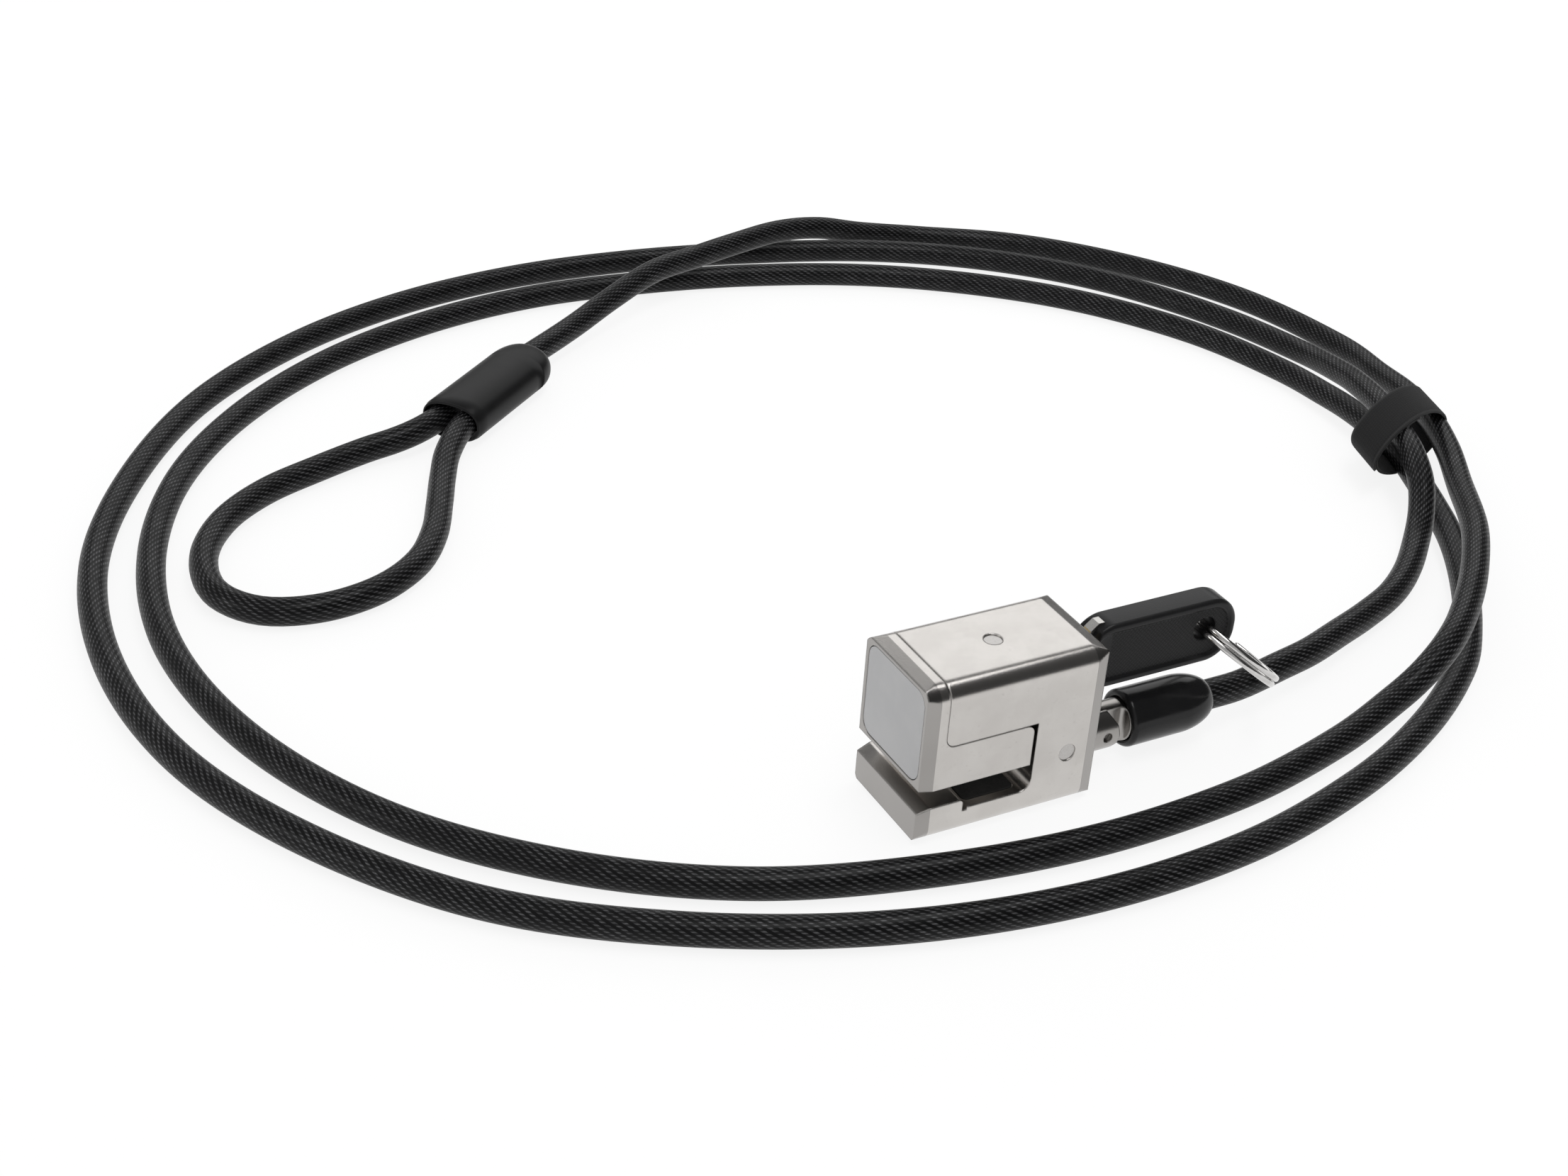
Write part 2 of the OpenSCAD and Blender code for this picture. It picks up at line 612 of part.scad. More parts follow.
module swivel_stud() {
    tip = pivot_x + 2;
    fork = [[stud_x0 - 1, -stud_r], [pivot_x + 0.5, -stud_r], [pivot_x + 0.7, 0.3 - stud_r],
            [tip - 0.2, -1.5], [tip, 0], [tip - 0.2, 1.5], [pivot_x + 0.7, stud_r - 0.3],
            [pivot_x + 0.5, stud_r], [stud_x0 - 1, stud_r]];
    groove_half = dowel_r + dowel_gap;
    color(steel) difference() {
        intersection() {
            rod_x(stud_x0, tip + 1, stud_r, 0, swivel_z);
            translate([0, 0, swivel_z]) along_y(-stud_r, stud_r) polygon(fork);
        }
        // groove that the swivel pin runs in
        difference() {
            rod_x(swivel_pin_x - groove_half, swivel_pin_x + groove_half, stud_d, 0, swivel_z);
            rod_x(stud_x0 - 1, rear_x, groove_r, 0, swivel_z);
        }
        // slot and cross bore of the clevis
        block([pivot_x - tongue_h / 2 - 0.25, -tongue_t / 2 - tongue_gap, 0],
              [pivot_x + big, tongue_t / 2 + tongue_gap, 2 * stud_d]);
        rod_y(-stud_d, stud_d, clevis_pin_d / 2, pivot_x, swivel_z);
    }
}

module clevis_pin() {
    color(dark_steel) rod_y(-clevis_pin_l / 2, clevis_pin_l / 2, clevis_pin_d / 2,
                            pivot_x, swivel_z);
}

module cable_tongue() {
    half = tongue_t / 2;
    flat_x = boot_x - shoulder_r;          // where the tongue's flats end
    color(steel) at_pivot() difference() {
        intersection() {
            union() {
                rod_y(-half, half, tongue_h / 2);
                block([0, -half, -tongue_h / 2], [flat_x + 0.5, half, tongue_h / 2]);
                difference() {
                    rod_x(flat_x, barrel_end, barrel_r);
                    // hollow shoulders beside the tongue
                    for (side = [-1, 1]) {
                        rod_z(-barrel_d, barrel_d, shoulder_r, flat_x, side * (half + shoulder_r));
                        translate([flat_x - 1, side * (half + shoulder_r), -barrel_d])
                            mirror([0, side < 0 ? 1 : 0, 0])
                            cube([1 + shoulder_r, barrel_d, 2 * barrel_d]);
                    }
                }
            }
            rod_x(-big, big, tongue_h / 2);
        }
        rod_y(-boot_d, boot_d, clevis_pin_d / 2 + dowel_gap);
        rod_x(socket_x, barrel_end + 1, cable_r);
    }
}

module boot() {
    r = boot_d / 2;
    end = boot_x + boot_l;
    dome = 4.6;                            // length of the domed end
    bore = cable_r + 0.05;
    outline = concat(
        [[bore, end], [bore, barrel_end], [barrel_r, barrel_end], [barrel_r, boot_x]],
        arc([r - 0.6, boot_x + 0.6], 0.6, -90, 0, 5),
        [for (i = [0:8]) let (a = 58 * i / 8)
            [r * cos(a), end - dome + (dome - 0.15) * sin(a) / sin(58)]],
        [[bore + 0.05, end]]);
    color(black_gloss) at_pivot() rotate([0, 90, 0])
        rotate_extrude($fn = 64) polygon(outline);
}

// ---------- cable ----------

module cable() {
    echo(cable_length = length_of(curve(ROUTE, 4)),
         least_gap_to_itself = least_gap(ROUTE, 3) - cable_d);
    color([0.12, 0.12, 0.12]) skin_over(tube_rings(ROUTE, cable_r, 8));
}

module ferrule_shape(wall, x0, x1) {
    for (side = [-1, 1]) rod_x(x0, x1, cable_r + wall, side * strand_pitch / 2);
    block([x0, -strand_pitch / 2, -cable_r - wall], [x1, strand_pitch / 2, cable_r + wall]);
}

module crimp_ferrule() {
    color(dark_steel) at_sleeve() difference() {
        ferrule_shape(ferrule_wall, ferrule_x, ferrule_x + ferrule_l);
        for (side = [-1, 1])
            rod_x(ferrule_x - 1, ferrule_x + ferrule_l + 1, cable_r, side * strand_pitch / 2);
    }
}

// One ring of the sleeve: a rounded oval of half width w and half height h.
function oval(x, w, h, n = 32) = [for (k = [0:n - 1])
    let (a = 360 * k / n, c = cos(a), s = sin(a))
    [x, w * sign(c) * pow(abs(c), 0.8), h * sign(s) * pow(abs(s), 0.8)]];

module crimp_sleeve() {
    w = sleeve_w / 2;
    h = sleeve_h / 2;
    l = sleeve_l;
    rings = [oval(0, w - 0.3, h - 0.3), oval(0.5, w, h), oval(l - 6, w, h),
             oval(l - 3.5, w - 0.4, h - 0.2), oval(l - 1.6, w - 1.2, h - 0.6),
             oval(l - 0.5, w - 2.2, h - 1.1), oval(l, w - 3, h - 1.6)];
    far = strand_pitch / 2;
    color(black_gloss) at_sleeve() difference() {
        skin_over(rings);
        // pocket of the ferrule, and the mouth in front of it
        ferrule_shape(ferrule_wall, ferrule_x, ferrule_x + ferrule_l);
        ferrule_shape(ferrule_wall + 0.05, -1, ferrule_x + skin);
        // bore for the standing strand, which leaves near the middle
        translate([ferrule_x + ferrule_l - 1, far, 0])
            rotate([0, 0, -atan((far - sleeve_exit) / (l - ferrule_x - ferrule_l))])
            rod_x(0, l, cable_r + 0.25);
    }
}

// ---------- strap ----------

// One end of the strap's loop: an oval of half width w and half height h, whose
// middle moves aside with x as the strands do.
function loop_ring(x, w, h, n = 40) = [for (k = [0:n - 1])
    let (a = 360 * k / n, c = cos(a), s = sin(a), u = w * sign(c) * pow(abs(c), 1.1))
    [x - u * tan(strap_skew), u - 0.17 * x, h * sign(s) * pow(abs(s), 1.1)]];

module strap() {
    w = strap_loop_w / 2;
    h = strand_rise / 2 + cable_r + strap_gap + strap_t;
    x = strap_w / 2;
    color([0.09, 0.09, 0.10]) translate(strap_middle) rotate([0, 0, strap_turn])
    rotate([strap_roll, 0, 0]) difference() {
        skin_over([loop_ring(-x, w, h), loop_ring(x, w, h)]);
        skin_over([loop_ring(-x - 2, w - strap_t, h - strap_t),
                   loop_ring(x + 2, w - strap_t, h - strap_t)]);
    }
}

// ---------- key ----------

// Outline of the bow in X and Z, drawn in by inset.
function bow_outline(inset) =
    let (r = bow_r - inset, x0 = bow_x0 + bow_r, x1 = bow_x1 - bow_r,
         z0 = bow_z - bow_h / 2 + bow_r, z1 = bow_z + bow_h / 2 - bow_r)
    concat(arc([x1, z0], r, -90, 0), arc([x1, z1], r, 0, 90),
           arc([x0, z1], r, 90, 180), arc([x0, z0], r, 180, 270));

function bow_ring(y, inset) = [for (p = bow_outline(inset)) [p[0], y, p[1]]];

module key_bow() {
    y = bow_t / 2;
    color(black_rubber) difference() {
        skin_over([bow_ring(y, 0.7), bow_ring(y - 0.2, 0.3), bow_ring(y - 0.7, 0),
                   bow_ring(0.7 - y, 0), bow_ring(0.2 - y, 0.3), bow_ring(-y, 0.7)]);
        // side panels, with sloping edges
        for (side = [0, 1]) mirror([0, side, 0])
            skin_over([bow_ring(y + skin, bow_rim - skin), bow_ring(y - bow_recess, bow_rim + 0.4)]);
        rod_y(-bow_t, bow_t, ring_hole_d / 2, hole_x, hole_z);
        blade_head();
    }
}

// The blade's head, moulded into the bow, with its corner standing just proud.
module blade_head() {
    z1 = bow_z + bow_h / 2 - 0.3;
    along_y(-blade_t / 2, blade_t / 2)
        polygon([[bow_x0 - skin, cyl_z - blade_h / 2], [bow_x0 + 6, cyl_z - blade_h / 2],
                 [bow_x0 + 6, cyl_z + blade_h / 2], [shoulder_x + 2.2, cyl_z + blade_h / 2],
                 [shoulder_x + 2.2, z1 + 0.3], [shoulder_x + 1.2, z1 + 0.3],
                 [shoulder_x, z1 - 0.7], [shoulder_x, cyl_z + blade_h / 2],
                 [bow_x0 - skin, cyl_z + blade_h / 2]]);
}

module key_blade() {
    z0 = cyl_z - blade_h / 2;
    z1 = cyl_z + blade_h / 2;
    tip = blade_x;
    // upper edge with one cut under each wafer
    cuts = [for (i = [wafer_count - 1:-1:0])
        let (x = first_wafer_x + i * wafer_pitch, d = 0.35 + 0.25 * ((i * 2) % 3))
        each [[x + 0.45, z1], [x + 0.15, z1 - d], [x - 0.15, z1 - d], [x - 0.45, z1]]];
    color(steel) {
        difference() {
            along_y(-blade_t / 2, blade_t / 2)
                polygon(concat([[tip, z0 + 1], [tip + 0.8, z0], [bow_x0, z0], [bow_x0, z1]],
                               cuts, [[tip + 0.1, z1], [tip, z1 - 0.1]]));
            // milled groove along one side
            block([tip - 1, 0.45, cyl_z - 0.6], [bow_x0 - 0.2, blade_t, cyl_z + 0.4]);
        }
        blade_head();
    }
}

module split_ring() {
    r = ring_d / 2;
    n = 24;                                // rings in one turn
    out = [sin(ring_lean), 0, -cos(ring_lean)];
    across = [cos(ring_lean), 0, sin(ring_lean)];
    middle = [hole_x, 0, hole_z] + (r + ring_seat) * out;
    // two turns side by side, the first stepping down to the second before its end
    path = [for (i = [0:2 * n - 3])
        let (a = 35 - 360 * i / n, step = 0.5 - min(max((i - n + 3) / 3, 0), 1))
        middle + r * cos(a) * out + [0, r * sin(a), 0] + step * ring_pitch * across];
    color(steel) skin_over([for (i = [0:len(path) - 1])
        let (t = heading(path, i), side = unit(cross(across, t)), up = cross(t, side))
        [for (k = [0:7]) path[i] + ring_wire_d / 2 * (cos(45 * k) * side + sin(45 * k) * up)]]);
}

lock_body();
jaw_pad();
slider();
badge_plate();
slide_pin();
cylinder_housing();
cylinder_plug();
plug_clip();
wafer_tumblers();
tumbler_springs();
lock_bolt();
swivel_stud();
swivel_pin();
clevis_pin();
cable_tongue();
boot();
cable();
crimp_ferrule();
crimp_sleeve();
strap();
key_blade();
key_bow();
split_ring();
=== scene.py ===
"""Cable lock for a laptop: the cable, strap, sleeve, boot, key bow and split ring
as smooth surfaces round the metal parts, with a finish for every part."""
import json

import bmesh
import bpy
import numpy as np
from mathutils import Matrix


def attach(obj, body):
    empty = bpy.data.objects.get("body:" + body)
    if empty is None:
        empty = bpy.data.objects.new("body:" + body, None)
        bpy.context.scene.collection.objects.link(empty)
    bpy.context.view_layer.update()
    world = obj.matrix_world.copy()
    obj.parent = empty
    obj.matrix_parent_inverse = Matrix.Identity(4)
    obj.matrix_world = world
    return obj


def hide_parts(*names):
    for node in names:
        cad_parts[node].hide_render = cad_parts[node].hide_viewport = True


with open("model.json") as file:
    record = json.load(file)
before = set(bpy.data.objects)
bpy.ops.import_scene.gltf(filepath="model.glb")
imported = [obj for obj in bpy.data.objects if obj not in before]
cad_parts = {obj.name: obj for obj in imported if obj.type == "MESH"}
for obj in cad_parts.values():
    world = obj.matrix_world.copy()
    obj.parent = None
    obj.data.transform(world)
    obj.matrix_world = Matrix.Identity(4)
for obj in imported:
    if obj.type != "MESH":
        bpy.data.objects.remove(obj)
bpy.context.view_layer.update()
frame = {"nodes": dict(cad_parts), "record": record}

MM = 0.001
TURN = 2 * np.pi

# ---------- measures of the lock, in millimetres ----------

PIVOT = np.array([19.5, 0, 5.2])      # where the cable's tongue swings in the fork
CABLE_R = 2.2

# Middle line of the cable: swivel, inner run, outer turn, inner turn, last run over
# the other two, sleeve, eye, and back into the sleeve.
ROUTE = np.array([
    [27.5, 0, 5.2], [34, 0, 5.2], [40, 0.1, 5.1], [46, 0.9, 4.6], [54.7, 2.9, 4.3],
    [62, 4.8, 3.9], [70.1, 7.9, 3.3], [78, 11, 2.7], [86.6, 14.8, 2.4], [94.3, 19.8, 2.3],
    [101.5, 26, 2.7], [106.5, 31, 4.6], [110.5, 36.5, 7], [114, 43.5, 8.4],
    [117.3, 51, 8.5], [120.9, 59.5, 8.3], [123.6, 67.5, 7.5], [126.2, 76, 6],
    [128.9, 91, 3.2], [125, 111, 2.2], [113, 133.5, 2.2], [96.5, 150.5, 2.2],
    [76, 162.8, 2.2], [52, 170.5, 2.2], [27.5, 175, 2.2], [3, 175.8, 2.2],
    [-21.5, 171.5, 2.2], [-45, 161.5, 2.2], [-67, 145, 2.2], [-84, 122.8, 2.2],
    [-95.5, 98.5, 2.2], [-99.8, 72, 2.2], [-97, 46, 2.2], [-87, 22.5, 2.2],
    [-71, 1.5, 2.2], [-50.5, -13, 2.2], [-26.5, -23.3, 2.2], [-1, -28.4, 2.2],
    [25, -28.2, 2.2], [48.5, -23, 2.2], [67, -15.5, 2.2], [82.5, -6, 2.2],
    [92, 3, 2.2], [101, 14, 2.2], [108, 24.5, 2.2], [112.8, 34, 2.2],
    [116, 42, 2.6], [118.7, 50.5, 3.4], [120.5, 58.5, 3.5], [121.7, 66.5, 3.3],
    [122.3, 75, 2.7], [121.5, 88, 2.2], [115.5, 107, 2.2], [103.5, 126, 2.2],
    [88, 140.7, 2.2], [69, 152.5, 2.2], [47.5, 160.3, 2.2], [25, 164.6, 2.2],
    [2.5, 165.8, 2.2], [-20, 161.8, 2.2], [-42, 152.5, 2.2], [-62, 137.8, 2.2],
    [-77.5, 119, 2.2], [-87.5, 96, 2.2], [-91, 71.5, 2.2], [-87, 46, 2.2],
    [-76, 22.6, 2.2], [-59.5, 4.6, 2.2], [-39, -8.5, 2.2], [-16, -15.7, 2.2],
    [8, -19, 2.2], [32, -18.1, 2.2], [52, -14, 2.3], [65.5, -10, 3.4],
    [72.5, -8.2, 5.4], [79.5, -5.2, 7.2], [87.5, 0.4, 7.4], [97.5, 9.2, 7.4],
    [108, 20.6, 6.9], [118.3, 35, 5.2], [125.5, 46, 5], [131, 57, 5],
    [134.5, 67, 4.4], [137, 77, 3.2], [139.3, 92, 2.3], [135, 115.5, 2.2],
    [123.5, 137, 2.2], [107, 155, 2.2], [88.5, 164.6, 2.8], [76, 167.6, 4.3],
    [66.5, 168.6, 6.3], [57, 168.3, 7], [46, 165.4, 7.1],
    [35.5, 162.1, 7.1], [25, 158.4, 7.2], [14.5, 153.5, 5.6], [3.5, 147.5, 3.8],
    [-8.53, 139.43, 3.65], [-17.5, 133.84, 3.65], [-24.92, 127.9, 3.65],
    [-31.78, 122.4, 3.65], [-36.6, 119.8, 3.4], [-41, 119, 2.8], [-46.5, 118.2, 2.4],
    [-55.5, 115.3, 2.2], [-65.5, 111, 2.2], [-74, 104.3, 2.2], [-79.7, 95, 2.2],
    [-81, 84.5, 2.2], [-76.5, 77, 2.2], [-68, 74.2, 2.2], [-58.5, 75.8, 2.2],
    [-50.5, 81, 2.2], [-45, 88.5, 2.2], [-41, 97, 2.2], [-37.5, 105, 2.3],
    [-34, 111.8, 3], [-28.57, 118.7, 3.65], [-21.86, 124.08, 3.65],
    [-14.83, 129.7, 3.65]])

# ---------- camera ----------

RIGHT = np.array([0.8845506, -0.4628273, 0.0579749])
DOWN = np.array([-0.1987058, -0.4863467, -0.8508718])
AHEAD = np.array([0.4220027, 0.7411192, -0.5221647])
EYE = np.array([-148.53, -205.29, 184.25])
SENSOR, FOCAL = 36, 52.078


def placed(side, up, back, place):
    """The matrix of a thing at a place in metres whose own X, Y and Z point along side,
    up and back."""
    turn = np.stack([side, up, back], axis=1).tolist()
    return Matrix([[*row, float(at)] for row, at in zip(turn, place)] + [[0, 0, 0, 1]])


camera_data = bpy.data.cameras.new("camera")
camera_data.sensor_width = SENSOR
camera_data.sensor_fit = "HORIZONTAL"
camera_data.lens = FOCAL
camera_data.clip_start = 0.01
camera_data.clip_end = 20
camera = bpy.data.objects.new("camera", camera_data)
camera.matrix_world = placed(RIGHT, -DOWN, -AHEAD, EYE * MM)
bpy.context.scene.collection.objects.link(camera)
bpy.context.scene.camera = camera

# ---------- surfaces ----------


def unit(v):
    """Each row of v divided by its length."""
    return v / np.linalg.norm(v, axis=-1, keepdims=True)


def smoothstep(x, low, high):
    """3u^2 - 2u^3 with u = (x - low) / (high - low), held between 0 and 1."""
    u = np.clip((x - low) / (high - low), 0, 1)
    return u * u * (3 - 2 * u)


def smooth_line(points, per_span):
    """The curve that passes through every point, with per_span points from each to
    the next: p(t) = (2b + (c-a)t + (2a-5b+4c-d)t^2 + (3b-a-3c+d)t^3) / 2, where a, b,
    c and d are the points before, at, after and two after."""
    ends = np.vstack([2 * points[0] - points[1], points, 2 * points[-1] - points[-2]])
    a, b, c, d = (ends[k:len(ends) - 3 + k, None, :] for k in range(4))
    t = (np.arange(per_span) / per_span)[None, :, None]
    spans = 0.5 * (2 * b + (c - a) * t + (2 * a - 5 * b + 4 * c - d) * t ** 2
                   + (3 * b - a - 3 * c + d) * t ** 3)
    return np.vstack([spans.reshape(-1, points.shape[1]), points[-1:]])


def even_line(line, step):
    """The same line with its points a step apart, and how far along each one lies."""
    along = np.r_[0, np.cumsum(np.linalg.norm(np.diff(line, axis=0), axis=1))]
    want = np.linspace(0, along[-1], int(round(along[-1] / step)) + 1)
    return np.stack([np.interp(want, along, line[:, k]) for k in range(3)], axis=1), want


def grid_quads(rows, cols, wrap_rows=False, wrap_cols=True):
    """Quads between neighbours of a grid of points, closed on itself where wrapped."""
    i = np.arange(rows if wrap_rows else rows - 1)[:, None]
    j = np.arange(cols if wrap_cols else cols - 1)[None, :]
    right, below = (j + 1) % cols, (i + 1) % rows
    corners = (i * cols + j, i * cols + right, below * cols + right, below * cols + j)
    return np.stack(corners, axis=-1).reshape(-1, 4)


def piece(name, grid, body, replaced, wrap_rows=False, caps=True, map_uv=None):
    """A piece whose surface is a grid of points in millimetres, closed across its
    columns, with flat ends unless its rows close too. map_uv = (U, V) of every row
    and column gives it a UV map."""
    rows, cols = grid.shape[:2]
    quads = grid_quads(rows, cols, wrap_rows)
    faces = quads.tolist()
    if caps and not wrap_rows:
        faces += [list(range(cols))[::-1], list(range((rows - 1) * cols, rows * cols))]
    mesh = bpy.data.meshes.new(name)
    mesh.from_pydata((grid.reshape(-1, 3) * MM).tolist(), [], faces)
    if map_uv is not None:
        u, v = (np.asarray(part, dtype=float) for part in map_uv)
        i, j = np.divmod(np.arange(len(quads)), cols)
        corner = np.stack([np.stack([u[i], v[j]], -1), np.stack([u[i], v[j + 1]], -1),
                           np.stack([u[i + 1], v[j + 1]], -1),
                           np.stack([u[i + 1], v[j]], -1)], axis=1)
        flat = np.zeros((len(mesh.loops), 2))
        flat[:corner.size // 2] = corner.reshape(-1, 2)
        mesh.uv_layers.new(name="along").data.foreach_set("uv", flat.ravel())
    work = bmesh.new()
    work.from_mesh(mesh)
    bmesh.ops.recalc_face_normals(work, faces=work.faces)
    work.to_mesh(mesh)
    work.free()
    mesh.shade_smooth()
    thing = bpy.data.objects.new(name, mesh)
    bpy.context.scene.collection.objects.link(thing)
    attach(thing, body)
    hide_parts(replaced)
    return thing


def tube(line, radius, sides):
    """Circles of a radius round every point of a line that is never upright: point
    + radius (cos a side + sin a up), with side level and up square to both."""
    ahead = unit(np.gradient(line, axis=0))
    side = unit(np.cross([0, 0, 1], ahead))
    up = np.cross(ahead, side)
    a = TURN * np.arange(sides) / sides
    return (line[:, None] + radius * (np.cos(a)[None, :, None] * side[:, None]
                                      + np.sin(a)[None, :, None] * up[:, None]))


def oval(width, height, sides, power):
    """Points (w cos^p a, h sin^p a) round an oval that is fuller than an ellipse."""
    a = TURN * np.arange(sides) / sides
    c, s = np.cos(a), np.sin(a)
    return np.stack([width * np.sign(c) * np.abs(c) ** power,
                     height * np.sign(s) * np.abs(s) ** power], axis=-1)


# ---------- cable ----------

CABLE_SIDES = 20
CABLE_STEP = 1.6                      # from each circle of the tube to the next
middle_line = smooth_line(ROUTE, 40)
middle_line[:, 2] = np.maximum(middle_line[:, 2], CABLE_R)      # it lies on the table
middle_line, cable_along = even_line(middle_line, CABLE_STEP)
cable = piece("cable_run", tube(middle_line, CABLE_R, CABLE_SIDES), "tether", "cable",
              map_uv=(cable_along * MM, np.arange(CABLE_SIDES + 1) / CABLE_SIDES))
cable.visible_glossy = False          # it would darken the polished head beside it

# ---------- boot ----------


def turned(profile, sides):
    """A profile of (x, r) turned about the X axis through the pivot."""
    x, r = np.asarray(profile, dtype=float).T
    a = TURN * np.arange(sides) / sides
    return PIVOT + np.stack([np.broadcast_to(x[:, None], (len(x), sides)),
                             r[:, None] * np.cos(a), r[:, None] * np.sin(a)], axis=-1)


def bend(x, r, radius, a0, a1, steps):
    """Profile points round a corner: (x, r) + radius (cos a, sin a), in degrees."""
    a = np.radians(np.linspace(a0, a1, steps + 1))
    return np.stack([x + radius * np.cos(a), r + radius * np.sin(a)], axis=-1)


BOOT_R, BOOT_END = 4.2, 18.6
BORE_R, CABLE_BORE_R = 3.12, 2.24     # round the end fitting, and round the cable
DOME_X, DOME_L, DOME_DROP = 13.4, 5.1, 3.2
dome = np.radians(np.linspace(0, 56, 22))
boot_profile = np.vstack([
    [[12.3, BORE_R], [5.2, BORE_R]],
    bend(4.55, 3.5, 0.36, 270, 180, 5),
    bend(4.75, BOOT_R - 0.75, 0.75, 180, 90, 8),
    [[6.5, BOOT_R], [10, BOOT_R]],
    np.stack([DOME_X + DOME_L * np.sin(dome) / np.sin(dome[-1]),
              BOOT_R - DOME_DROP * (1 - np.cos(dome))], axis=-1),
    bend(BOOT_END - 0.05, 2.56, 0.16, 150, 0, 5),
    [[BOOT_END, 2.28], [17.5, CABLE_BORE_R], [12.4, CABLE_BORE_R]]])
boot = piece("boot_shell", turned(boot_profile, 96), "tether", "boot",
             wrap_rows=True)

# ---------- crimp sleeve ----------

SLEEVE_MOUTH = np.array([-30.41, 120.36, 3.65])
SLEEVE_TURN = np.radians(38.7)
SLEEVE_L, SLEEVE_W, SLEEVE_H = 28.4, 5.7, 3.6       # length, half width, half height
SLEEVE_EXIT = 1.2                     # how far aside the standing strand leaves
SQUARE = 0.82                         # power that squares the oval of the section
LIP_R = 0.25
ROUND_X, ROUND_L = 22.4, 5.8          # where the far end starts to round, and how long


def sleeve_grid():
    """Ovals along the sleeve: up the wall of its mouth, over the rolled lip, along
    the body, and round its back to the strand. Each row of the table is the place
    along the sleeve, the half width, the half height, how far the oval's middle is
    moved aside, and the power that squares it."""
    lip = np.radians(np.linspace(-60, 200, 12))
    round_end = np.radians(np.linspace(0, 84, 16))
    rows = [[6.5, 4.9, 2.9, 0, SQUARE], [3, 5.1, 3.02, 0, SQUARE],
            [1, 5.16, 3.08, 0, SQUARE]]
    rows += [[0.28 - 0.28 * s, SLEEVE_W + LIP_R * (c - 1), SLEEVE_H + LIP_R * (c - 1),
              0, SQUARE] for c, s in zip(-np.cos(lip[::-1] - 0.35), np.sin(lip))][3:10]
    rows += [[x, SLEEVE_W, SLEEVE_H, 0, SQUARE]
             for x in (1.2, 3, *np.linspace(6, ROUND_X, 9))]
    for part in 1 - np.cos(round_end):
        rows.append([ROUND_X + ROUND_L * np.sqrt(part * (2 - part)),
                     SLEEVE_W - 2.5 * part ** 1.05, SLEEVE_H - part, 0.55 * part,
                     SQUARE + 0.12 * part])
    rows += [[28.36, 2.9, 2.55, 0.9, 0.97], [SLEEVE_L, 2.5, 2.4, 1.1, 1],
             [28.2, 2.3, 2.3, SLEEVE_EXIT, 1], [25, 2.25, 2.25, 1.5, 1]]
    place = np.array(rows)
    flat = np.stack([oval(w, h, 72, p) for _, w, h, _, p in rows])
    u = np.broadcast_to(place[:, 0, None], flat.shape[:2])
    v = flat[..., 0] + place[:, 3, None]
    c, s = np.cos(SLEEVE_TURN), np.sin(SLEEVE_TURN)
    return SLEEVE_MOUTH + np.stack([u * c - v * s, u * s + v * c, flat[..., 1]], axis=-1)


sleeve = piece("sleeve_shell", sleeve_grid(), "tether", "crimp_sleeve")

# ---------- strap ----------

STRAP_MIDDLE = np.array([121, 53.7, 5.85])
STRAP_TURN, STRAP_SKEW, STRAP_ROLL = np.radians([82, 28, 5])
STRAP_W, STRAP_HALF, STRAP_RISE, TAPE_T = 10.0, 11.6, 5.75, 0.5
TONGUE_L = 2.2                        # of the tape's end, where it narrows
MOUTH_LEAN = 0.17                     # how far the mouth leans along the cable


def strap_grid():
    """A tape carried once round an oval and on beneath itself. Along the tape, a runs
    from its end at the lower left over the top and round again; across it, a flat
    section with round edges. The oval's point moves in by one thickness after the
    first turn, and the whole leans as the mouth of the loop does."""
    a = np.radians(np.linspace(-32, 452, 260))
    inward = 0.06 + TAPE_T / 2 + (TAPE_T + 0.04) * smoothstep(np.degrees(a), 235, 318)
    c, s = np.cos(a), np.sin(a)
    wave = 0.05 * np.sin(3 * a + 1) + 0.04 * np.sin(7 * a)
    y = (STRAP_HALF - inward + wave) * np.sign(c) * np.abs(c) ** 1.1
    z = (STRAP_RISE - inward) * np.sign(s) * np.abs(s) ** 1.1
    along = unit(np.gradient(np.stack([y, z], axis=-1), axis=0))
    out = np.stack([along[:, 1], -along[:, 0]], axis=-1)
    # the tape's end narrows to a tongue
    from_end = np.cumsum(np.r_[0, np.hypot(np.diff(y), np.diff(z))])
    narrow = (1 - np.clip((from_end + 0.25) / TONGUE_L, 0, 1)) ** 2.4
    half = STRAP_W / 2 * np.sqrt(1 - 0.8 * narrow)
    edge = np.radians(np.linspace(90, -90, 7))
    flat, bow_out, rise = np.ones(9), np.cos(edge[1:-1]), np.sin(edge[1:-1])
    across = np.r_[np.linspace(-1, 1, 9), np.ones(5), np.linspace(1, -1, 9), -np.ones(5)]
    bulge = np.r_[0 * flat, bow_out, 0 * flat, -bow_out]
    thick = np.r_[flat, rise, -flat, -rise]
    x = half[:, None] * across + 0.2 * bulge
    lift = TAPE_T / 2 * thick
    yy = y[:, None] + lift * out[:, :1]
    zz = z[:, None] + lift * out[:, 1:]
    skew = yy * np.tan(STRAP_SKEW)
    x, yy = x - skew, yy - MOUTH_LEAN * x
    c, s = np.cos(STRAP_ROLL), np.sin(STRAP_ROLL)
    yy, zz = yy * c - zz * s, yy * s + zz * c
    c, s = np.cos(STRAP_TURN), np.sin(STRAP_TURN)
    ribbon = np.stack([x * c - yy * s, x * s + yy * c, zz], axis=-1)
    return STRAP_MIDDLE + ribbon, from_end, across


strap_points, strap_along, strap_across = strap_grid()
strap = piece("strap_tape", strap_points, "tether", "strap",
              map_uv=(strap_along * MM, np.r_[strap_across, -1] * STRAP_W / 2 * MM))

# ---------- key bow ----------

